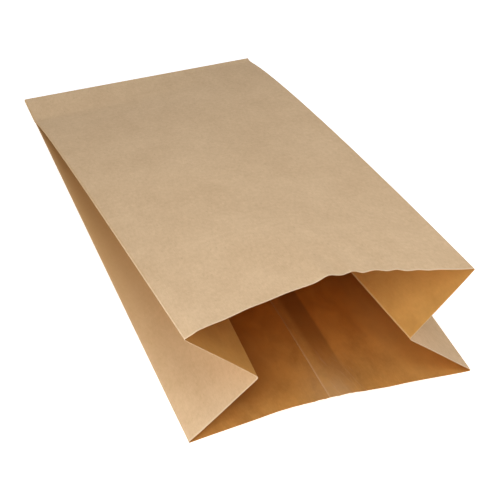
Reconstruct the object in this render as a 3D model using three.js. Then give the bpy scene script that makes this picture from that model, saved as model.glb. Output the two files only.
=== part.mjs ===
// A lined kraft paper bag with side gussets, lying on its back panel with its mouth open.
// One sheet of paper with a film lining is lapped and glued into a tube down the back panel,
// folded in at both sides, and closed by turning its far end under and gluing it down.
// Millimetres. +Z is up, +Y runs from the mouth to the bottom fold, +X is to the right of the mouth.
import * as THREE from "three";

// The cut and folded sheet
const panelWidth = 130; // front and back panel, from side fold to side fold
const gussetHalf = 40; // each half of a side gusset, from side fold to crease
const bagLength = 280; // mouth to bottom fold, measured along the paper
const flapLength = 22; // turned under at the bottom and glued to the back panel
const lapWidth = 12; // overlap of the glued seam down the back panel
const lapEdge = 0; // place across the back panel where the lap's inner layer ends, from the right
const lapRamp = 3; // stretch over which the inner layer climbs onto the outer one

// Paper thickness and the air left between pressed layers
const wall = 0.12;
const layerGap = 0.08;
const flapGap = 0.2; // glue and air between the flap and the back panel

// How far the bag stands open at its mouth
const mouthHeightLeft = 52.3;
const mouthHeightRight = 53.4;
const pressedLeft = 22; // length at the bottom where the left side still lies flat
const pressedRight = 2;
const openingPower = 0.82; // under 1, so the sides open soonest next to the bottom
const frontArch = 11; // rise of the front panel's middle at the mouth
const backArch = 5; // rise of the back panel's middle at the mouth
const archPower = 1.25;
const archFade = 1.5; // how quickly both arches die out away from the mouth

// Fold radii at the paper's middle, where the bag stands fully open
const sideFoldRadius = 0.5;
const creaseRadius = 1.2;

// Fineness of the faceted surface
const panelSteps = 12;
const gussetSteps = 3;
const foldSteps = 3;
const lengthSteps = 22;
const bendSteps = 5;
const flapSteps = 2;
const cutStep = 0.04; // width over which a cut paper edge steps down in the seam
const seamClearance = 3; // the panel's even steps stay this far from the seam's own points

const pitch = wall + layerGap;
const pressedStack = 3 * pitch; // back panel, two gusset halves and front panel
const flapAxisHeight = flapGap / 2 + pressedStack + wall;
const backHeightOverFlap = flapAxisHeight + flapGap / 2 + wall / 2;

// Share of the full opening at a distance along the paper from the bottom fold
function openShare(fromBottom, pressed) {
  const along = THREE.MathUtils.clamp((fromBottom - pressed) / (bagLength - pressed), 0, 1);
  return along ** openingPower;
}

// Height of the back panel's side folds: over the flap first, then down to the ground at the mouth
function backHeight(fromBottom) {
  const along = THREE.MathUtils.clamp((fromBottom - flapLength) / (bagLength - flapLength), 0, 1);
  return THREE.MathUtils.lerp(backHeightOverFlap, wall / 2, along);
}

// The places of the six long folds in one cross-section
function foldCentres(fromBottom) {
  const left = openShare(fromBottom, pressedLeft);
  const right = openShare(fromBottom, pressedRight);
  const least = Math.min(left, right);
  const side = THREE.MathUtils.lerp(pitch / 2, sideFoldRadius, least);
  const crease = THREE.MathUtils.lerp(pitch / 2, creaseRadius, least);
  const front = frontArch * least ** archFade;
  const back = backArch * least ** archFade;
  const spanFront = archedSpan(front);
  const spanBack = archedSpan(back);
  const low = backHeight(fromBottom);
  const highLeft = low + THREE.MathUtils.lerp(pressedStack, mouthHeightLeft, left);
  const highRight = low + THREE.MathUtils.lerp(pressedStack, mouthHeightRight, right);
  const frontLeft = new THREE.Vector2(side - spanFront / 2, highLeft - side);
  const frontRight = new THREE.Vector2(spanFront / 2 - side, highRight - side);
  const backLeft = new THREE.Vector2(side - spanBack / 2, low + side);
  const backRight = new THREE.Vector2(spanBack / 2 - side, low + side);
  return {
    side, crease, front, back, frontLeft, frontRight, backLeft, backRight,
    creaseLeft: creaseBetween(frontLeft, backLeft, 1, side + crease),
    creaseRight: creaseBetween(frontRight, backRight, -1, side + crease),
  };
}

// An arched panel spans less than its own width, by what a flat parabola's arc is longer
function archedSpan(rise) {
  const arcOverSpan = 8 / 3;
  return panelWidth - arcOverSpan * (rise ** 2 / panelWidth);
}

// The inner crease of a gusset lies half a gusset away from both of its side folds. The fold
// centres are closer than that, because the paper goes round the outside of both folds.
function creaseBetween(high, low, inward, radii) {
  const across = new THREE.Vector2().subVectors(high, low);
  const half = across.length() / 2;
  const depth = Math.sqrt(Math.max((gussetHalf - radii) ** 2 - half ** 2, 0));
  const middle = new THREE.Vector2().addVectors(high, low).multiplyScalar(0.5);
  const square = new THREE.Vector2(across.y, -across.x).normalize();
  return middle.addScaledVector(square, inward * depth);
}

// Direction of the straight paper between two folds that turn opposite ways
function directionBetween(from, to, turn, reach) {
  const between = new THREE.Vector2().subVectors(to, from);
  return Math.atan2(between.y, between.x) - turn * Math.asin(Math.min(reach / between.length(), 1));
}

// The same direction, written as the angle that lies within half a turn of another one
function near(angle, other) {
  return angle + 2 * Math.PI * Math.round((other - angle) / (2 * Math.PI));
}

// One cross-section of the paper's middle, as points with the outward normal at each.
// The path runs over the front panel to the right, round the right gusset, back along the
// back panel to the left and round the left gusset.
function crossSection(fromBottom) {
  const at = foldCentres(fromBottom);
  const reach = at.side + at.crease;
  const upperRight = near(directionBetween(at.frontRight, at.creaseRight, 1, reach), -Math.PI);
  const lowerRight = near(directionBetween(at.creaseRight, at.backRight, -1, reach), 0);
  const lowerLeft = near(directionBetween(at.backLeft, at.creaseLeft, 1, reach), -2 * Math.PI);
  const upperLeft = near(directionBetween(at.creaseLeft, at.frontLeft, -1, reach), -Math.PI);
  const path = [];
  panel(path, at.frontLeft, at.frontRight, at.side, 1, at.front, evenShares(panelSteps));
  fold(path, at.frontRight, at.side, 0, upperRight, 1);
  straight(path, at.frontRight, at.side, at.creaseRight, at.crease, upperRight, 1);
  fold(path, at.creaseRight, at.crease, upperRight, lowerRight, -1);
  straight(path, at.creaseRight, at.crease, at.backRight, at.side, lowerRight, -1);
  fold(path, at.backRight, at.side, lowerRight, -Math.PI, 1);
  panel(path, at.backRight, at.backLeft, at.side, -1, at.back, backShares());
  fold(path, at.backLeft, at.side, -Math.PI, lowerLeft, 1);
  straight(path, at.backLeft, at.side, at.creaseLeft, at.crease, lowerLeft, 1);
  fold(path, at.creaseLeft, at.crease, lowerLeft, upperLeft, -1);
  straight(path, at.creaseLeft, at.crease, at.frontLeft, at.side, upperLeft, -1);
  fold(path, at.frontLeft, at.side, upperLeft, -2 * Math.PI, 1);
  return path;
}

function evenShares(steps) {
  return Array.from({ length: steps - 1 }, (_, i) => (i + 1) / steps);
}

// Shares across the back panel from right to left, with points at both edges of the lapped seam
function backShares() {
  const lapStart = lapEdge + lapWidth;
  const seam = [lapStart + lapRamp, lapStart, lapStart - cutStep, lapEdge, lapEdge - cutStep];
  const seamShares = seam.map((x) => 0.5 - x / panelWidth);
  const leastApart = seamClearance / panelWidth;
  const clearOfSeam = (share) => seamShares.every((other) => Math.abs(share - other) > leastApart);
  return [...evenShares(panelSteps).filter(clearOfSeam), ...seamShares].sort((a, b) => a - b);
}

// A front or back panel between two side folds; both arches rise in +Z
function panel(path, from, to, radius, facing, arch, shares) {
  for (const share of shares) {
    const x = THREE.MathUtils.lerp(from.x, to.x, share);
    const z = THREE.MathUtils.lerp(from.y, to.y, share) + facing * radius;
    const rise = arch * Math.sin(Math.PI * share) ** archPower;
    const slope = arch * archPower * Math.sin(Math.PI * share) ** (archPower - 1)
      * Math.cos(Math.PI * share) * (Math.PI / (to.x - from.x)) + (to.y - from.y) / (to.x - from.x);
    const normal = new THREE.Vector2(-slope, 1).normalize().multiplyScalar(facing);
    const acrossSheet = x * (panelWidth / Math.abs(to.x - from.x));
    path.push({ x, z: z + rise, normal, seam: facing < 0 ? acrossSheet : null });
  }
}

// A rounded fold, turning from one direction of travel to another about its centre
function fold(path, centre, radius, fromAngle, toAngle, side) {
  for (let i = 0; i <= foldSteps; i++) {
    const angle = THREE.MathUtils.lerp(fromAngle, toAngle, i / foldSteps);
    const normal = new THREE.Vector2(-Math.sin(angle), Math.cos(angle));
    path.push({
      x: centre.x + side * radius * normal.x,
      z: centre.y + side * radius * normal.y,
      normal,
      seam: null,
    });
  }
}

// The flat paper of a gusset half, between the ends of two folds
function straight(path, from, fromRadius, to, toRadius, angle, side) {
  const normal = new THREE.Vector2(-Math.sin(angle), Math.cos(angle));
  const start = from.clone().addScaledVector(normal, side * fromRadius);
  const end = to.clone().addScaledVector(normal, -side * toRadius);
  for (const share of evenShares(gussetSteps)) {
    const point = start.clone().lerp(end, share);
    path.push({ x: point.x, z: point.y, normal, seam: null });
  }
}

// How far the paper's inner and outer faces lie inside its middle, at a place across the seam
function faceLevels(seam) {
  const plain = { inner: wall / 2, outer: -wall / 2 };
  if (seam === null) return plain;
  const lapStart = lapEdge + lapWidth;
  if (seam > lapStart + lapRamp || seam < lapEdge - cutStep / 2) return plain;
  const climb = THREE.MathUtils.clamp((lapStart + lapRamp - seam) / lapRamp, 0, 1);
  const raised = climb * wall;
  const onRamp = seam > lapStart - cutStep / 2;
  return { inner: wall / 2 + raised, outer: onRamp ? raised - wall / 2 : -wall / 2 };
}

// Two matching grids of points, the outer and the inner face, from the bottom fold to the mouth.
// Each lengthwise line of the paper keeps its length, so a line that climbs ends further back.
function faces() {
  const step = bagLength / lengthSteps;
  const outer = [];
  const inner = [];
  let before = null;
  for (let row = 0; row <= lengthSteps; row++) {
    const section = crossSection(row * step);
    section.forEach((point, i) => {
      if (!before) {
        point.y = bagLength;
        return;
      }
      const aside = Math.hypot(point.x - before[i].x, point.z - before[i].z);
      point.y = before[i].y - Math.sqrt(Math.max(step ** 2 - aside ** 2, 0));
    });
    outer.push(section.map((point) => offset(point, faceLevels(point.seam).outer)));
    inner.push(section.map((point) => offset(point, faceLevels(point.seam).inner)));
    before = section;
  }
  return { outer, inner };
}

// A point moved towards the inside of the bag
function offset(point, inward) {
  return new THREE.Vector3(
    point.x - inward * point.normal.x,
    point.y,
    point.z - inward * point.normal.y,
  );
}

// The pressed stack carried on round the bottom fold and back under the bag as the flap
function turnedUnder(edge) {
  const rows = [];
  for (let i = 1; i <= bendSteps; i++) {
    const angle = (Math.PI * i) / bendSteps;
    rows.push(edge.map((point) => {
      const radius = point.z - flapAxisHeight;
      const y = bagLength + radius * Math.sin(angle);
      return new THREE.Vector3(point.x, y, flapAxisHeight + radius * Math.cos(angle));
    }));
  }
  const bent = rows.at(-1);
  for (let i = 1; i <= flapSteps; i++) {
    const back = (flapLength * i) / flapSteps;
    rows.push(bent.map((point) => new THREE.Vector3(point.x, point.y - back, point.z)));
  }
  return rows;
}

// Collects triangles whose corners run anticlockwise seen from outside the paper
class Skin {
  constructor() {
    this.positions = [];
  }

  triangle(a, b, c) {
    this.positions.push(...a.toArray(), ...b.toArray(), ...c.toArray());
  }

  // A band between two rows of points, each row a closed loop. Seen from above, every four-sided
  // facet is split the same way, inside and outside, on each layer. So a twisted wall keeps its
  // thickness, and pressed layers that twist together don't cross.
  band(row, next, facesInside = false) {
    row.forEach((a, i) => {
      const j = (i + 1) % row.length;
      const [b, c, d] = [row[j], next[j], next[i]];
      const halves = b.x > a.x ? [[a, b, c], [a, c, d]] : [[a, b, d], [b, c, d]];
      for (const [p, q, r] of halves) {
        if (facesInside) this.triangle(p, r, q);
        else this.triangle(p, q, r);
      }
    });
  }

  // A flat lid over one closed row, facing the mouth
  lid(row) {
    const outline = row.map((point) => new THREE.Vector2(point.x, point.z));
    const corners = THREE.ShapeUtils.triangulateShape(outline, []);
    const turning = corners.map((corner) => THREE.ShapeUtils.area(corner.map((i) => outline[i])));
    const anticlockwise = turning.reduce((sum, area) => sum + area, 0) > 0;
    for (const [a, b, c] of corners) {
      if (anticlockwise) this.triangle(row[a], row[b], row[c]);
      else this.triangle(row[a], row[c], row[b]);
    }
  }

  geometry() {
    const made = new THREE.BufferGeometry();
    made.setAttribute("position", new THREE.Float32BufferAttribute(this.positions, 3));
    made.computeVertexNormals();
    return made;
  }
}

function bagGeometry() {
  const { outer, inner } = faces();
  const flap = turnedUnder(outer[0]);
  const skin = new Skin();
  const outside = [...flap.reverse(), ...outer];
  for (let row = 1; row < outside.length; row++) skin.band(outside[row], outside[row - 1]);
  for (let row = 1; row < inner.length; row++) skin.band(inner[row], inner[row - 1], true);
  skin.band(inner.at(-1), outer.at(-1)); // the cut paper edge round the mouth
  skin.lid(inner[0]); // inside, where the pressed layers meet at the bottom fold
  skin.lid(outside[0]); // the flap's cut edge
  return skin.geometry();
}

const kraft = new THREE.MeshStandardMaterial({ color: 0xc9a377, roughness: 0.85, metalness: 0 });
kraft.name = "kraft_paper";

const bag = new THREE.Mesh(bagGeometry(), kraft);
bag.name = "paper_bag";

// The origin is on the ground, under the middle of the bag
bag.geometry.computeBoundingBox();
const middle = bag.geometry.boundingBox.getCenter(new THREE.Vector3());
bag.position.set(-middle.x, -middle.y, -bag.geometry.boundingBox.min.z);

const part = new THREE.Group();
part.add(bag);

export default part;
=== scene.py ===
# A lined kraft paper bag. One cut sheet is folded, lapped and opened, then given its thickness,
# its film lining and its cut edges. Sizes are in millimetres until the mesh is made.
import math

import bpy
import numpy as np
from mathutils import Matrix, Vector


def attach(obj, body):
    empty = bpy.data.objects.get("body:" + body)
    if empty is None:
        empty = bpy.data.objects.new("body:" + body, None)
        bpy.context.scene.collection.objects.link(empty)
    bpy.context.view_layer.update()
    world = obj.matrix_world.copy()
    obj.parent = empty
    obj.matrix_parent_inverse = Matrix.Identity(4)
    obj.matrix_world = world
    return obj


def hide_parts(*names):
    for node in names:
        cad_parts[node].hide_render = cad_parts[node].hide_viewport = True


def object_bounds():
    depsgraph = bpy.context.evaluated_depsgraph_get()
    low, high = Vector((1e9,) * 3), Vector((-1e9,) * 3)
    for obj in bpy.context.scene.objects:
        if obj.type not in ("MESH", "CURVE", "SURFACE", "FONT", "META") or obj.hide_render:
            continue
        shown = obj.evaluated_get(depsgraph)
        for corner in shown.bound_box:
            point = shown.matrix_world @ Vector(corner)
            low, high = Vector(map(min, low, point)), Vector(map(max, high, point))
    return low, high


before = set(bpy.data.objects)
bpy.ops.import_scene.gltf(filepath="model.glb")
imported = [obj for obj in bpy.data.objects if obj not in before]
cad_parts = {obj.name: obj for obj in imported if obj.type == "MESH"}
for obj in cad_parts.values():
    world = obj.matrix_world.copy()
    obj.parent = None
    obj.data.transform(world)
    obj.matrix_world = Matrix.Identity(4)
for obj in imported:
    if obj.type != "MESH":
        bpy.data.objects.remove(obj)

cadBox = [list(corner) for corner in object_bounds()]
mm = 0.001


# The sheet and how it is folded

bag = {
    "panel": 130.0,  # front and back panel
    "gussetHalf": 40.0,
    "length": 280.0,  # mouth to bottom fold
    "flap": 22.0,  # turned under at the bottom
    "lap": 12.0,  # glued overlap down the back panel
    "seamAside": -2.0,  # the cut edge inside, from the middle of the back panel
    "lapRamp": 3.0,
    "wall": 0.12,
    "lapRise": 0.14,  # one wall and the glue
    "layerGap": 0.08,
    "flapGap": 0.2,
    "heightLeft": 52.3,
    "heightRight": 53.4,
    "pressedLeft": 22.0,  # the left side lies flat this far from the bottom
    "pressedRight": 2.0,
    "openingPower": 0.82,
    "sideEase": 4.0,  # length over which a side fold starts to lift
    "panelEase": 12.0,  # the same for the front panel beside it
    "lagReach": 0.3,  # share of the front panel over which it settles below its side fold
    "frontArch": (10.97, 1.60, -5.77, -2.29),  # rise, lean, flattening and skew at the mouth
    "backArch": (5.21, -1.79, -2.09, 0.39),
    "archFade": 1.5,
    "sideFold": 0.45,  # fold radii where the bag is fully open
    "crease": 1.2,
}
mesh = {
    "panelStep": 1.7,
    "gussetStep": 2.0,
    "lengthStep": 2.1,
    "foldSteps": 6,
    "lapSteps": 8,
    "rampSteps": 3,
    "bendSteps": 8,
    "flapSteps": 8,
    "smoothUnder": 35,  # degrees
}

pitch = bag["wall"] + bag["layerGap"]
pressedStack = 3 * pitch
flapAxis = bag["flapGap"] / 2 + pressedStack + bag["wall"]
backOverFlap = flapAxis + bag["flapGap"] / 2 + bag["wall"] / 2
sheetWidth = 2 * bag["panel"] + 4 * bag["gussetHalf"] + bag["lap"]
bendLength = math.pi * (pressedStack / 2 + bag["flapGap"])
sheetLength = bag["length"] + bendLength + bag["flap"]


def mix(a, b, share):
    return a + (b - a) * share


def smooth(value, low, high):
    t = np.clip((value - low) / (high - low), 0, 1)
    return t * t * (3 - 2 * t)


def openShare(fromBottom, pressed, ease):
    past = max(fromBottom - pressed, 0)
    most = bag["length"] - pressed
    eased = (math.hypot(past, ease) - ease) / (math.hypot(most, ease) - ease)
    return eased ** bag["openingPower"]


def backHeight(fromBottom):
    along = min(max((fromBottom - bag["flap"]) / (bag["length"] - bag["flap"]), 0), 1)
    return mix(backOverFlap, bag["wall"] / 2, along)


def archRise(arch, share):
    aside = 2 * share - 1
    rise = arch[0] + arch[1] * aside + arch[2] * aside ** 2 + arch[3] * aside ** 3
    return 4 * share * (1 - share) * rise


def evenShares(length, step):
    count = max(round(length / step), 2)
    return np.arange(1, count) / count


# The sheet's columns, in the order that the paper runs: from the outer layer's cut edge in the
# lap to the left, round the left gusset, over the front panel, round the right gusset and back.
panelShares = evenShares(bag["panel"], mesh["panelStep"])
gussetShares = evenShares(bag["gussetHalf"], mesh["gussetStep"])
foldShares = np.linspace(0, 1, mesh["foldSteps"] + 1)
seam = 0.5 + bag["seamAside"] / bag["panel"]
lapStart = seam + bag["lap"] / bag["panel"]
rampStart = lapStart + bag["lapRamp"] / bag["panel"]
lapShares = np.linspace(lapStart, seam, mesh["lapSteps"] + 1)  # the same in both layers of the lap
outerLayer = np.append(
    lapShares,
    seam * (1 - evenShares(seam * bag["panel"], mesh["panelStep"])),
)
innerLayer = np.concatenate([
    1 - evenShares((1 - rampStart) * bag["panel"], mesh["panelStep"]) * (1 - rampStart),
    np.linspace(rampStart, lapStart, mesh["rampSteps"] + 1),
    lapShares[1:],
])
leftStart = lapStart * bag["panel"]  # from the outer layer's cut edge to the left side fold
rightEnd = leftStart + 4 * bag["gussetHalf"] + bag["panel"]  # the same to the right side fold below


def foldCentres(fromBottom):
    left = openShare(fromBottom, bag["pressedLeft"], bag["sideEase"])
    right = openShare(fromBottom, bag["pressedRight"], bag["sideEase"])
    least = min(left, right)
    at = {
        "side": mix(pitch / 2, bag["sideFold"], least),
        "crease": mix(pitch / 2, bag["crease"], least),
        "fade": least ** bag["archFade"],
        "lag": (openShare(fromBottom, bag["pressedLeft"], bag["panelEase"]) - left) * bag["heightLeft"],
    }
    low = backHeight(fromBottom)
    for name, arch, high in (
        ("front", bag["frontArch"], True),
        ("back", bag["backArch"], False),
    ):
        # An arched panel keeps its length, so it reaches less far across
        span = bag["panel"] - (8 / 3) * (arch[0] * at["fade"]) ** 2 / bag["panel"]
        for side, sign, share, height in (
            ("Left", -1, left, bag["heightLeft"]),
            ("Right", 1, right, bag["heightRight"]),
        ):
            x = sign * (span / 2 - at["side"])
            z = low + mix(pressedStack, height, share) - at["side"] if high else low + at["side"]
            at[name + side] = np.array((x, z))
    for side, inward in (("Left", 1), ("Right", -1)):
        upper, lower = at["front" + side], at["back" + side]
        across = upper - lower
        half = np.hypot(*across) / 2
        # The fold centres are closer than a gusset half, because the paper goes round outside them
        away = bag["gussetHalf"] - at["side"] - at["crease"]
        depth = math.sqrt(max(away ** 2 - half ** 2, 0))
        square = np.array((across[1], -across[0])) / (2 * half)
        at["crease" + side] = (upper + lower) / 2 + inward * depth * square
    return at


def directionBetween(start, end, turn, reach):
    between = end - start
    return math.atan2(between[1], between[0]) - turn * math.asin(min(reach / np.hypot(*between), 1))


# The same angle, in the turn that is nearest to another
def near(angle, other):
    return angle + 2 * math.pi * round((other - angle) / (2 * math.pi))


def panelPoints(start, end, radius, facing, arch, fade, shares):
    spots = mix(start[None, :], end[None, :], shares[:, None])
    fromLeft = shares if facing > 0 else 1 - shares
    spots[:, 1] += facing * radius + fade * archRise(arch, fromLeft)
    return spots


def foldPoints(centre, radius, fromAngle, toAngle, side):
    angle = mix(fromAngle, toAngle, foldShares)
    normal = np.stack([-np.sin(angle), np.cos(angle)], 1)
    return centre + side * radius * normal


def straightPoints(start, startRadius, end, endRadius, angle, side):
    normal = np.array((-math.sin(angle), math.cos(angle)))
    first = start + side * startRadius * normal
    last = end - side * endRadius * normal
    return mix(first[None, :], last[None, :], gussetShares[:, None])


# One cross-section of the paper's middle, as one point for each column
def crossSection(fromBottom):
    at = foldCentres(fromBottom)
    side, crease = at["side"], at["crease"]
    reach = side + crease
    turn = 2 * math.pi
    lowerLeft = near(directionBetween(at["backLeft"], at["creaseLeft"], 1, reach), -turn)
    upperLeft = near(directionBetween(at["creaseLeft"], at["frontLeft"], -1, reach), -turn / 2)
    upperRight = near(directionBetween(at["frontRight"], at["creaseRight"], 1, reach), -turn / 2)
    lowerRight = near(directionBetween(at["creaseRight"], at["backRight"], -1, reach), 0)
    back = (at["backRight"], at["backLeft"], side, -1, bag["backArch"], at["fade"])
    inner = panelPoints(*back, 1 - innerLayer)
    ramp = np.clip((rampStart - innerLayer) / (rampStart - lapStart), 0, 1)
    inner[:, 1] += bag["lapRise"] * ramp
    overMouth = (at["frontLeft"], at["frontRight"], side, 1, bag["frontArch"], at["fade"])
    front = panelPoints(*overMouth, panelShares)
    front[:, 1] += at["lag"] * (1 - panelShares) * smooth(panelShares, 0, bag["lagReach"])
    return np.concatenate([
        panelPoints(*back, 1 - outerLayer),
        foldPoints(at["backLeft"], side, -turn / 2, lowerLeft, 1),
        straightPoints(at["backLeft"], side, at["creaseLeft"], crease, lowerLeft, 1),
        foldPoints(at["creaseLeft"], crease, lowerLeft, upperLeft, -1),
        straightPoints(at["creaseLeft"], crease, at["frontLeft"], side, upperLeft, -1),
        foldPoints(at["frontLeft"], side, upperLeft, -turn, 1),
        front,
        foldPoints(at["frontRight"], side, 0, upperRight, 1),
        straightPoints(at["frontRight"], side, at["creaseRight"], crease, upperRight, 1),
        foldPoints(at["creaseRight"], crease, upperRight, lowerRight, -1),
        straightPoints(at["creaseRight"], crease, at["backRight"], side, lowerRight, -1),
        foldPoints(at["backRight"], side, lowerRight, -turn / 2, 1),
        inner,
    ])


# Where each column lies on the flat sheet, how pale it is painted as a fold (wear and a painted
# highlight), and the run that it is in
def columnPlaces():
    zero = np.zeros(mesh["foldSteps"] + 1)
    half, panel = bag["gussetHalf"], bag["panel"]
    runs = [
        (0, (lapStart - outerLayer) * panel),
        (leftStart, zero),
        (leftStart, gussetShares * half),
        (leftStart + half, zero),
        (leftStart + half, gussetShares * half),
        (leftStart + 2 * half, zero),
        (leftStart + 2 * half, panelShares * panel),
        (leftStart + 2 * half + panel, zero),
        (leftStart + 2 * half + panel, gussetShares * half),
        (leftStart + 3 * half + panel, zero),
        (leftStart + 3 * half + panel, gussetShares * half),
        (leftStart + 4 * half + panel, zero),
        (leftStart + 4 * half + panel, (1 - innerLayer) * panel),
    ]
    places = np.concatenate([start + run for start, run in runs])
    foldPeak = np.sin(math.pi * foldShares)
    paleFolds = np.concatenate([foldPeak if run is zero else np.zeros(len(run)) for _, run in runs])
    names = [
        "backLeft", "", "lowerLeft", "", "upperLeft", "", "front",
        "", "upperRight", "", "lowerRight", "", "backRight",
    ]
    parts = np.concatenate([np.full(len(run), i) for i, (_, run) in enumerate(runs)])
    return places, paleFolds, parts, names


# Small unevenness of the paper, along its normal

waves = {
    # how far across the panel, height (up is more than 0), half width and reach from the mouth
    "frontDents": [
        (0.070, 1.30, 0.085, 24), (0.210, 1.20, 0.070, 24), (0.488, 1.85, 0.032, 22),
        (0.522, 0.15, 0.024, 18), (0.570, 1.25, 0.030, 22), (0.603, -1.00, 0.024, 20),
        (0.655, 1.00, 0.035, 22), (0.720, 0.75, 0.024, 20), (0.765, -0.65, 0.030, 20),
        (0.835, -0.50, 0.025, 18), (0.600, 0.80, 0.040, 60), (0.690, -0.70, 0.045, 50),
        (0.330, 0.40, 0.050, 90),
    ],
    "backDents": [
        (0.300, 0.25, 0.050, 30), (0.420, -0.25, 0.035, 22),
        (0.560, 0.30, 0.030, 22), (0.700, -0.25, 0.045, 26),
    ],
    "sideClear": 0.04,  # share of the panel over which the dents die out towards a side fold
    "swell": 0.35,  # broad unevenness of a whole panel
    "gussetSwell": 0.22,
    "wrinkle": 0.10,  # in the film beside the seam
    "wrinkleSpread": 16,
    "wrinkleReach": 26,
}


def paperWaves(share, fromMouth, isFront):
    free = np.sin(math.pi * np.clip(share, 0, 1)) ** 0.7
    long = fromMouth / bag["length"]
    opened = 1 - np.clip(long, 0, 1)
    broad = (
        np.sin(7.1 * share + 9.3 * long + 0.4) * np.cos(5.2 * share - 6.7 * long + 1.9)
        + 0.6 * np.sin(13.7 * share - 11.9 * long + 2.6)
        + 0.4 * np.cos(4.3 * share + 21.0 * long)
    )
    total = free * waves["swell"] * broad * opened ** 0.6
    fromSide = np.minimum(share, 1 - share) / waves["sideClear"]
    for place, rise, width, reach in waves["frontDents" if isFront else "backDents"]:
        dent = rise * np.exp(-((share - place) / width) ** 2 - fromMouth / reach)
        total = total + np.clip(fromSide, 0, 1) * dent
    return total


def gussetWaves(share, fromMouth, phase):
    free = np.sin(math.pi * np.clip(share, 0, 1))
    long = fromMouth / bag["length"]
    opened = 1 - np.clip(long, 0, 1)
    swell = np.sin(14 * long + phase) + 0.6 * np.sin(31 * long + 3 * share + 2 * phase)
    return waves["gussetSwell"] * free * opened ** 0.7 * swell


# Film wrinkles beside the seam, near the mouth
def filmWrinkles(fromSeam, fromMouth):
    spread = np.exp(-((fromSeam + 2) / waves["wrinkleSpread"]) ** 2)
    close = spread * np.exp(-fromMouth / waves["wrinkleReach"])
    lean = fromSeam * 0.9 + fromMouth * 0.35
    wrinkles = np.sin(1.15 * lean) + 0.7 * np.sin(2.1 * fromSeam - 0.5 * fromMouth + 1.0)
    return waves["wrinkle"] * close * wrinkles


# All points of the sheet, as rows from the flap's edge to the mouth
def foldedSheet():
    places, paleFolds, parts, names = columnPlaces()
    steps = round(bag["length"] / mesh["lengthStep"])
    runs = np.linspace(0, bag["length"], steps + 1)
    first = crossSection(0)
    spots = [np.column_stack([first[:, 0], np.full(len(first), bag["length"]), first[:, 1]])]
    for before, here in zip(runs[:-1], runs[1:]):
        section = crossSection(here)
        aside = np.hypot(section[:, 0] - spots[-1][:, 0], section[:, 1] - spots[-1][:, 2])
        y = spots[-1][:, 1] - np.sqrt(np.maximum((here - before) ** 2 - aside ** 2, 0))
        spots.append(np.column_stack([section[:, 0], y, section[:, 1]]))
    spots = np.array(spots)

    fromMouth = (bag["length"] - runs)[:, None] * np.ones(len(places))
    along = np.gradient(spots, axis=0)
    across = np.gradient(spots, axis=1)
    normal = np.cross(along, across)
    normal /= np.maximum(np.linalg.norm(normal, axis=2, keepdims=True), 1e-9)
    rise = np.zeros(fromMouth.shape)
    shares = {
        "backLeft": lapStart - places / bag["panel"],
        "front": (places - leftStart - 2 * bag["gussetHalf"]) / bag["panel"],
        "backRight": 1 - (places - leftStart - 4 * bag["gussetHalf"] - bag["panel"]) / bag["panel"],
        "lowerLeft": (places - leftStart) / bag["gussetHalf"],
        "upperLeft": (places - leftStart) / bag["gussetHalf"] - 1,
        "upperRight": (places - leftStart - bag["panel"]) / bag["gussetHalf"] - 2,
        "lowerRight": (places - leftStart - bag["panel"]) / bag["gussetHalf"] - 3,
    }
    for i, name in enumerate(names):
        if not name:
            continue
        here = parts == i
        share = shares[name][here][None, :]
        far = fromMouth[:, here]
        if name == "front":
            rise[:, here] = paperWaves(share, far, True)
        elif name.startswith("back"):
            fromSeam = (share - seam) * bag["panel"]
            rise[:, here] = -paperWaves(share, far, False) - filmWrinkles(fromSeam, far)
        else:
            rise[:, here] = gussetWaves(share, far, 1.3 * i)
    spots += normal * rise[:, :, None]

    # The pressed stack carried on round the bottom fold and back under the bag
    turned = []
    for step in range(1, mesh["bendSteps"] + 1):
        angle = math.pi * step / mesh["bendSteps"]
        radius = first[:, 1] - flapAxis
        y = bag["length"] + radius * math.sin(angle)
        turned.append(np.column_stack([first[:, 0], y, flapAxis + radius * math.cos(angle)]))
    for step in range(1, mesh["flapSteps"] + 1):
        back = bag["flap"] * step / mesh["flapSteps"]
        turned.append(turned[mesh["bendSteps"] - 1] - np.array((0, back, 0)))
    allSpots = np.concatenate([np.array(turned[::-1]), spots])
    bendRuns = -bendLength * np.arange(1, mesh["bendSteps"] + 1) / mesh["bendSteps"]
    flapRuns = -bendLength - bag["flap"] * np.arange(1, mesh["flapSteps"] + 1) / mesh["flapSteps"]
    allRuns = np.concatenate([np.concatenate([bendRuns, flapRuns])[::-1], runs])
    return allSpots, allRuns, places, paleFolds


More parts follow.
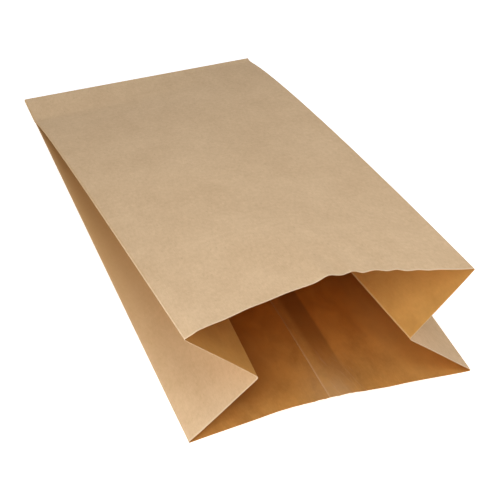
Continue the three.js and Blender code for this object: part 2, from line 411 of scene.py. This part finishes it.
def buildBag():
    spots, runs, places, paleFolds = foldedSheet()
    rows, columns = spots.shape[:2]
    bpy.ops.object.select_all(action="DESELECT")
    bpy.ops.mesh.primitive_grid_add(x_subdivisions=columns - 1, y_subdivisions=rows - 1, size=1)
    piece = bpy.context.object
    piece.name = piece.data.name = "kraft_bag"
    data = piece.data
    assert len(data.vertices) == rows * columns, (len(data.vertices), rows, columns)
    flat = np.array([v.co[:2] for v in data.vertices])
    column = np.rint((flat[:, 0] + 0.5) * (columns - 1)).astype(int)
    row = np.rint((0.5 - flat[:, 1]) * (rows - 1)).astype(int)  # counted so that faces point outwards

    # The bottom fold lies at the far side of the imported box
    high = Vector(cadBox[1])
    outermost = (pressedStack + bag["wall"] / 2 + backHeight(0) - flapAxis) * mm
    place = Vector((0, high.y - outermost - bag["length"] * mm, 0))
    folded = spots[row, column] * mm + np.array(place)
    data.vertices.foreach_set("co", folded.astype(np.float32).ravel())

    uv = data.uv_layers.active.data
    fromFlap = runs[row] + sheetLength - bag["length"]
    sheet = np.column_stack([places[column] / sheetWidth, fromFlap / sheetLength])
    corners = np.array([loop.vertex_index for loop in data.loops])
    uv.foreach_set("uv", sheet[corners].astype(np.float32).ravel())
    data.uv_layers.active.name = "sheet"
    wearAndHighlight = data.attributes.new("foldWearAndHighlight", "FLOAT", "POINT")
    wearAndHighlight.data.foreach_set("value", paleFolds[column].astype(np.float32))
    data.update()

    for made in (kraftPaper(), filmLining(), cutPaper()):
        data.materials.append(made)
    wall = piece.modifiers.new("paper", "SOLIDIFY")
    wall.thickness = bag["wall"] * mm
    wall.offset = 0
    wall.material_offset = 1
    wall.material_offset_rim = 2
    bpy.ops.object.modifier_apply(modifier=wall.name)
    bpy.ops.object.shade_smooth_by_angle(angle=math.radians(mesh["smoothUnder"]))
    print("bag:", rows, "rows,", columns, "columns,", len(data.polygons), "faces")
    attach(piece, "root")
    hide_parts("paper_bag")
    return piece


# Shader maths: a socket of a material's nodes, which adds its Math nodes as expressions are written
class Socket:
    def __init__(self, paint, socket):
        self.paint = paint
        self.socket = socket

    def maths(self, operation, *values, clamp=False):
        settings = {"operation": operation, "use_clamp": clamp}
        return self.paint.add("ShaderNodeMath", settings, dict(enumerate(values)))

    def __add__(self, other):
        return self.maths("ADD", self, other)

    def __sub__(self, other):
        return self.maths("SUBTRACT", self, other)

    def __rsub__(self, other):
        return self.maths("SUBTRACT", other, self)

    def __mul__(self, other):
        return self.maths("MULTIPLY", self, other)

    __radd__ = __add__
    __rmul__ = __mul__

    def clamped(self):
        return self.maths("ADD", self, 0, clamp=True)

    def between(self, low, high):  # 0 at low, 1 at high, smooth in between
        values = {"Value": self, "From Min": low, "From Max": high}
        return self.paint.add("ShaderNodeMapRange", {"interpolation_type": "SMOOTHSTEP"}, values)


class Paint:
    def __init__(self, made, shader):
        made.use_nodes = True
        self.made = made
        self.tree = made.node_tree
        self.shader = self.tree.nodes[shader]

    def add(self, kind, settings, values, output=0):
        node = self.tree.nodes.new(kind)
        for name, value in settings.items():
            setattr(node, name, value)
        self.feed(node, values)
        return Socket(self, node.outputs[output])

    def feed(self, node, values):
        for name, value in values.items():
            if isinstance(value, Socket):
                self.tree.links.new(value.socket, node.inputs[name])
            else:
                node.inputs[name].default_value = value

    # Millimetres across and along the flat sheet
    def sheetPlace(self):
        uv = self.add("ShaderNodeUVMap", {"uv_map": "sheet"}, {})
        sheet = {0: uv, 1: (sheetWidth, sheetLength, 1)}
        scaled = self.add("ShaderNodeVectorMath", {"operation": "MULTIPLY"}, sheet)
        split = self.add("ShaderNodeSeparateXYZ", {}, {0: scaled})
        return scaled, split, Socket(self, split.socket.node.outputs[1])

    def noise(self, place, stretch, scale, detail, roughness, distortion):
        stretched = {0: place, 1: (1, stretch, 1)}
        values = {
            "Vector": self.add("ShaderNodeVectorMath", {"operation": "MULTIPLY"}, stretched),
            "Scale": scale,
            "Detail": detail,
            "Roughness": roughness,
            "Distortion": distortion,
        }
        return self.add("ShaderNodeTexNoise", {"noise_dimensions": "2D"}, values)

    def foldWearAndHighlight(self):
        return self.add("ShaderNodeAttribute", {"attribute_name": "foldWearAndHighlight"}, {}, 2)

    def blend(self, share, a, b, how="MIX"):
        values = {0: share, 6: a, 7: b}
        return self.add("ShaderNodeMix", {"data_type": "RGBA", "blend_type": how}, values, 2)

    def bump(self, height, strength, distance):
        values = {"Height": height, "Strength": strength, "Distance": distance}
        return self.add("ShaderNodeBump", {}, values)


def newPaint(name):
    return Paint(bpy.data.materials.new(name), "Principled BSDF")


# 1 on both gussets, 0 on the panels
def onGusset(across):
    rightStart = leftStart + 2 * bag["gussetHalf"] + bag["panel"]
    inside = 0
    for start in (leftStart, rightStart):
        end = start + 2 * bag["gussetHalf"]
        inside = across.between(start - 1, start + 1) - across.between(end - 1, end + 1) + inside
    return inside


# A value made uneven by patterns, each with its strength
def uneven(value, *patterns):
    for pattern, strength in patterns:
        value = (pattern - 0.5) * strength + value
    return value


# A pattern is given as stretch along the sheet, scale, detail, roughness and distortion
kraft = {
    "light": (0.765, 0.555, 0.345, 1),
    "dark": (0.612, 0.418, 0.240, 1),
    "gussetPaintedShade": (0.600, 0.350, 0.130, 1),  # painted shade: darker and warmer further from the mouth, where the overhang shades the gussets and light only comes through the paper
    "fleck": (0.400, 0.250, 0.130, 1),
    # pale fold lines and mouth rim: wear with a painted highlight
    "wearAndHighlight": (0.830, 0.660, 0.460, 1),
    "cloud": (0.8, 0.035, 3, 0.55, 0),
    "patch": (0.7, 0.13, 3, 0.55, 0.3),
    "mottle": (0.7, 0.55, 3, 0.6, 0),
    "fibres": (0.16, 2.4, 3, 0.65, 0.3),
    "flecks": (0.45, 1.3, 2, 0.5, 0.6),
    "fleckShare": 0.25,
    "gussetShadeDepth": 0.8,
    "rimWearAndHighlight": 0.45,  # the pale rim of the mouth: partly wear, partly a painted highlight
    "edgeWidth": 1.2,
    "roughness": 0.82,
    "gloss": 0.28,
    "relief": (0.35, 0.00012),  # strength, and depth in metres
}


def kraftPaper():
    paint = newPaint("kraft_outside")
    place, across, along = paint.sheetPlace()
    fromMouth = sheetLength - along
    patterns = ("cloud", "patch", "mottle", "fibres", "flecks")
    cloud, patch, mottle, fibres, flecks = (paint.noise(place, *kraft[name]) for name in patterns)
    shade = uneven(0.5, (cloud, 0.6), (patch, 0.6), (mottle, 0.8), (fibres, 0.8)).clamped()
    colour = paint.blend(shade, kraft["dark"], kraft["light"])
    colour = paint.blend(flecks.between(0.66, 0.78) * kraft["fleckShare"], colour, kraft["fleck"])
    # Painted shade on the gussets, growing away from the mouth
    shadedGussets = onGusset(across) * fromMouth.between(-40, 170)
    colour = paint.blend(shadedGussets * kraft["gussetShadeDepth"], colour, kraft["gussetPaintedShade"])
    # Paler fold lines and mouth rim: partly wear, partly a painted highlight
    colour = paint.blend(paint.foldWearAndHighlight() * (0.10 + mottle * 0.30), colour, kraft["wearAndHighlight"])
    rim = 1 - fromMouth.between(0.3, kraft["edgeWidth"])
    colour = paint.blend(rim * kraft["rimWearAndHighlight"], colour, kraft["wearAndHighlight"])
    relief = (fibres + mottle) * 0.6
    paint.feed(paint.shader, {
        "Base Color": colour,
        "Roughness": uneven(kraft["roughness"], (mottle, 0.15)),
        "Normal": paint.bump(relief, *kraft["relief"]),
        "Specular IOR Level": kraft["gloss"],
    })
    return paint.made


lining = {
    "light": (0.760, 0.310, 0.052, 1),
    "dark": (0.640, 0.235, 0.030, 1),
    "paintedSheen": (0.640, 0.345, 0.100, 1),  # painted sheen: the film paler and greyer near the mouth, where more light and its reflection reach
    "gusset": (0.840, 0.480, 0.140, 1),  # lit through a single wall
    "blotch": (0.600, 0.500, 0.360, 1),  # darkens the film where the paper behind it is denser
    "lapShade": (0.300, 0.110, 0.020, 1),
    "lit": (0.860, 0.500, 0.150, 1),
    "sheen": (0.820, 0.590, 0.360, 1),
    "haze": (0.740, 0.500, 0.260, 1),  # painted sheen: paler, greyer film beside the seam, at the mouth
    # painted highlight along the creases
    "crease": (0.780, 0.520, 0.240, 1),
    "cloud": (0.6, 0.05, 3, 0.55, 0),
    "patch": (0.55, 0.11, 3, 0.5, 0.4),
    "mottle": (0.7, 0.5, 3, 0.6, 0),
    "fibres": (0.25, 1.4, 3, 0.65, 0.3),
    "wrinkles": (0.08, 0.70, 2, 0.5, 0.6),
    "wrinkleAngle": math.radians(-13),
    "paintedSheenReach": 68,
    "lapWidth": 14.0,  # the doubled paper shows darker, because less light comes through it
    "lapDepth": 0.68,
    "shadedDepth": 0.75,  # beside the left gusset
    "litDepth": 0.4,  # beside the right gusset
    "edgeLine": 1.0,
    "hazeDepth": 0.9,
    "wrinkleDepth": 0.22,
    "roughness": 0.40,
    "coat": 0.35,
    "coatRoughness": 0.24,
    "gloss": 0.5,
    "relief": (0.5, 0.0006),
}


def filmLining():
    paint = newPaint("film_lining")
    place, across, along = paint.sheetPlace()
    fromSeam = sheetWidth - across
    fromMouth = sheetLength - along
    gussets = onGusset(across)
    patterns = ("cloud", "patch", "mottle", "fibres")
    cloud, patch, mottle, fibres = (paint.noise(place, *lining[name]) for name in patterns)

    shade = uneven(0.5, (cloud, 1.3), (mottle, 0.9), (fibres, 0.9)).clamped()
    colour = paint.blend(shade, lining["dark"], lining["light"])
    # Painted sheen near the mouth
    paintedSheen = (1 - fromMouth.between(0, lining["paintedSheenReach"])) * uneven(0.8, (cloud, 0.8))
    colour = paint.blend(paintedSheen, colour, lining["paintedSheen"])
    onGussets = (gussets * uneven(0.75, (cloud, 0.8), (fibres, 0.9))).clamped()
    colour = paint.blend(onGussets, colour, lining["gusset"])
    # A painted sheen strip along the inner layer's cut edge
    strip = (1 - fromSeam.between(3.5, 6.0)) * uneven(0.35, (mottle, 0.5))
    colour = paint.blend(strip, colour, lining["paintedSheen"])
    grain = uneven(0, (mottle, 0.45), (fibres, 0.5), (patch, 1.0), (cloud, 0.9))
    grain = (grain * (1 - gussets * 0.45) + 0.30).clamped()
    colour = paint.blend(grain, colour, lining["blotch"], "MULTIPLY")

    # The lap, the shade beside the left gusset, the light beside the right one, and the cut edge
    lapWidth = lining["lapWidth"]
    inLap = (1 - fromSeam.between(lapWidth - 1.5, lapWidth)) * fromSeam.between(2.5, 6.0)
    inLap = inLap * fromMouth.between(-4, 42)
    colour = paint.blend(inLap * lining["lapDepth"], colour, lining["lapShade"])
    leftEnd = leftStart + 2 * bag["gussetHalf"]
    shaded = (across - bag["lap"]).between(8, 32) * (1 - across.between(leftEnd - 1, leftEnd))
    shaded = shaded * (1 - gussets * 0.8)
    shaded = shaded * fromMouth.between(3, 22) * (1 - fromMouth.between(35, 85))
    colour = paint.blend(shaded * lining["shadedDepth"], colour, lining["lapShade"])
    lit = fromSeam.between(28, 42) * across.between(rightEnd, rightEnd + 1)
    lit = lit * fromMouth.between(-8, 16) * (1 - fromMouth.between(35, 95))
    colour = paint.blend(lit * lining["litDepth"], colour, lining["lit"])
    edge = (1 - fromSeam.between(0, lining["edgeLine"])) * (0.5 - fromMouth.between(0, 60) * 0.38)
    colour = paint.blend(edge, colour, lining["sheen"])

    # Painted sheen beside the seam, slanted wrinkles, and painted highlights on the creases
    # Painted sheen beside the seam near the mouth
    besideSeam = 1 - fromSeam.between(3, 20) + (1 - (across - bag["lap"]).between(0, 16)) * 0.5
    haze = (1 - fromMouth.between(0, 30)) * besideSeam * (0.1 + patch * 0.7)
    colour = paint.blend(haze * lining["hazeDepth"], colour, lining["haze"])
    turned = {"Vector": place, "Angle": lining["wrinkleAngle"]}
    slanted = paint.add("ShaderNodeVectorRotate", {"rotation_type": "Z_AXIS"}, turned)
    ridge = paint.noise(slanted, *lining["wrinkles"]).between(0.50, 0.68)
    loose = (1 - fromMouth.between(3, 45)) * (1 - fromSeam.between(6, 24)) * patch.between(0.3, 0.6)
    ridge = ridge * loose
    colour = paint.blend(ridge * lining["wrinkleDepth"], colour, lining["sheen"])
    # Painted highlight along the creases, with some wear
    wearAndHighlight = paint.foldWearAndHighlight().between(0.3, 1) * (0.45 + mottle * 0.5)
    colour = paint.blend(wearAndHighlight, colour, lining["crease"])
    crumple = ridge * 0.5 + mottle * 0.15 + cloud * 0.8
    paint.feed(paint.shader, {
        "Base Color": colour,
        "Roughness": uneven(lining["roughness"], (mottle, 0.12)),
        "Coat Weight": uneven(lining["coat"], (cloud, 0.4)),
        "Coat Roughness": lining["coatRoughness"],
        "Normal": paint.bump(crumple, *lining["relief"]),
        "Specular IOR Level": lining["gloss"],
    })
    return paint.made


cutEdge = {
    "light": (0.84, 0.66, 0.45, 1),
    "dark": (0.66, 0.46, 0.27, 1),
    "fibres": (1, 2.2, 3, 0.65, 0),
    "roughness": 0.9,
    "relief": (0.4, 0.00005),
}


def cutPaper():
    paint = newPaint("cut_edge")
    fibres = paint.noise(paint.sheetPlace()[0], *cutEdge["fibres"])
    paint.feed(paint.shader, {
        "Base Color": paint.blend(fibres, cutEdge["dark"], cutEdge["light"]),
        "Roughness": cutEdge["roughness"],
        "Normal": paint.bump(fibres, *cutEdge["relief"]),
    })
    return paint.made


# The room: a pale floor, a pale surround, soft lights and the camera

studio = {
    "floor": (0.93, 0.93, 0.93, 1),
    "floorSize": 6.0,
    "floorDrop": 0.0002,  # clear of the paper's underside
    "overhead": 0.03,  # how bright the surround is straight above, at the horizon and below it
    "horizon": 0.65,
    "beneath": 1.17,
    "fadeAbove": (0.25, 0.45),  # heights of a direction over which it changes
    "fadeBelow": (-0.1, 0.1),
    "floorGlow": 0.55,  # keeps the floor near white under the soft shadow
    # name, place, size, watts and what it aims at
    "lamps": [
        ("leftLamp", (-0.32, -0.32, 0.14), 0.25, 0.85, (0, -0.12, 0.02)),
        ("frontLamp", (0, -0.42, 0.45), 0.35, 0.80, (0, -0.08, 0.02)),
        ("topLamp", (-0.05, 0.10, 0.80), 0.50, 3.2, (0, 0, 0)),
        ("rightLamp", (0.38, -0.30, 0.22), 0.30, 0.55, (0.03, -0.10, 0.01)),
    ],
}
camera = {
    "azimuth": -20.656,
    "elevation": 37.624,
    "roll": 0.409,
    "distance": 0.74127,
    "target": (0.004479, -0.02662, 0.0),
    "focalPixels": 1544.7,
    "framePixels": 500,
    "sensor": 36.0,
}


def buildFloor():
    bpy.ops.object.select_all(action="DESELECT")
    bpy.ops.mesh.primitive_plane_add(size=studio["floorSize"], location=(0, 0, -studio["floorDrop"]))
    floor = bpy.context.object
    floor.name = "floor"
    paint = newPaint("floor_white")
    paint.feed(paint.shader, {
        "Base Color": studio["floor"],
        "Roughness": 0.9,
        "Specular IOR Level": 0.1,
        "Emission Color": (1, 1, 1, 1),
        "Emission Strength": studio["floorGlow"],
    })
    floor.data.materials.append(paint.made)
    floor.visible_diffuse = False  # the bag is lit by the surround, not by the glowing floor


def buildLights():
    surround = bpy.data.worlds.new("surround")
    bpy.context.scene.world = surround
    paint = Paint(surround, "Background")
    direction = paint.add("ShaderNodeTexCoord", {}, {})
    height = paint.add("ShaderNodeSeparateXYZ", {}, {0: direction}, 2)
    above = height.between(*studio["fadeAbove"]) * (studio["overhead"] - studio["horizon"])
    below = (0 - height).between(*studio["fadeBelow"]) * (studio["beneath"] - studio["horizon"])
    paint.feed(paint.shader, {"Color": (1, 1, 1, 1), "Strength": above + below + studio["horizon"]})
    for name, place, size, watts, aim in studio["lamps"]:
        data = bpy.data.lights.new(name, "AREA")
        data.size = size
        data.energy = watts
        lamp = bpy.data.objects.new(name, data)
        lamp.location = place
        lamp.rotation_euler = (Vector(aim) - Vector(place)).to_track_quat("-Z", "Y").to_euler()
        bpy.context.scene.collection.objects.link(lamp)


def buildCamera():
    azimuth, elevation, roll = (math.radians(camera[k]) for k in ("azimuth", "elevation", "roll"))
    back = Vector((
        math.sin(azimuth) * math.cos(elevation),
        -math.cos(azimuth) * math.cos(elevation),
        math.sin(elevation),
    ))
    right = Vector((math.cos(azimuth), math.sin(azimuth), 0))
    up = back.cross(right)
    turnedRight = right * math.cos(roll) + up * math.sin(roll)
    turnedUp = up * math.cos(roll) - right * math.sin(roll)
    data = bpy.data.cameras.new("camera")
    data.sensor_width = camera["sensor"]
    data.lens = camera["sensor"] * camera["focalPixels"] / camera["framePixels"]
    data.clip_start = 0.01
    made = bpy.data.objects.new("camera", data)
    placed = Matrix((turnedRight, turnedUp, back)).transposed().to_4x4()
    placed.translation = Vector(camera["target"]) + back * camera["distance"]
    made.matrix_world = placed
    bpy.context.scene.collection.objects.link(made)
    bpy.context.scene.camera = made


buildCamera()
buildLights()
buildFloor()
print("room: camera, lights and floor")
buildBag()
bpy.context.scene.view_settings.view_transform = "Standard"
